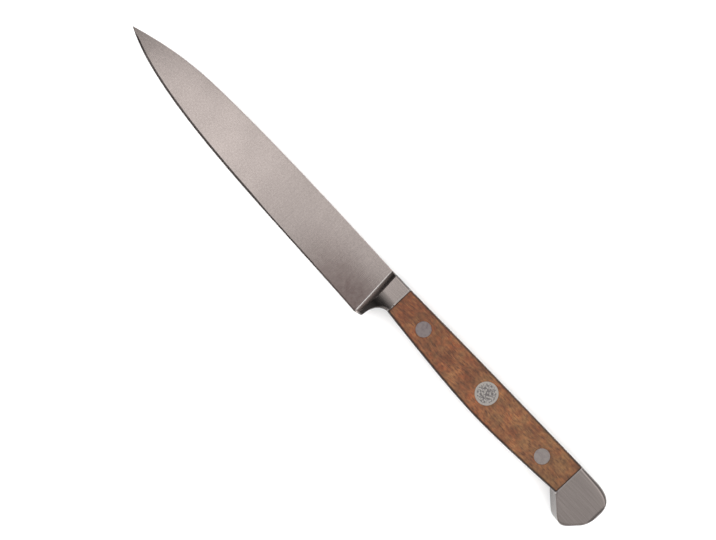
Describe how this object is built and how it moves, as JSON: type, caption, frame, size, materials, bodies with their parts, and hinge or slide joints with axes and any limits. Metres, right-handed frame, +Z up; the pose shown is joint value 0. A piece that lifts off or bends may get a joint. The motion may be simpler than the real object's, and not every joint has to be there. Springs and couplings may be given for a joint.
{
  "type": "paring knife",
  "caption": "Forged full-tang paring knife: slender pointed blade, integral bolster and beaked pommel, wooden handle scales held by flush rivets.",
  "frame": {"origin": "middle of the underside of the knife's box, with the knife lying on its right side", "axes": "+X along the knife from tip to butt, +Y from the cutting edge to the spine, +Z up through the handle's thickness, from the right scale to the left one"},
  "size_m": [0.2442, 0.0216, 0.014],
  "materials": {
    "satin_steel": "satin ground",
    "walnut": "oiled",
    "rivet_steel": "ground flush"
  },
  "bodies": {
    "root": {"blade_forging": "satin_steel", "left_scale": "walnut", "right_scale": "walnut", "front_rivet_tube": "rivet_steel", "front_rivet_pin": "rivet_steel", "middle_rivet_tube": "rivet_steel", "middle_rivet_pin": "rivet_steel", "rear_rivet_tube": "rivet_steel", "rear_rivet_pin": "rivet_steel"}
  },
  "joints": []
}
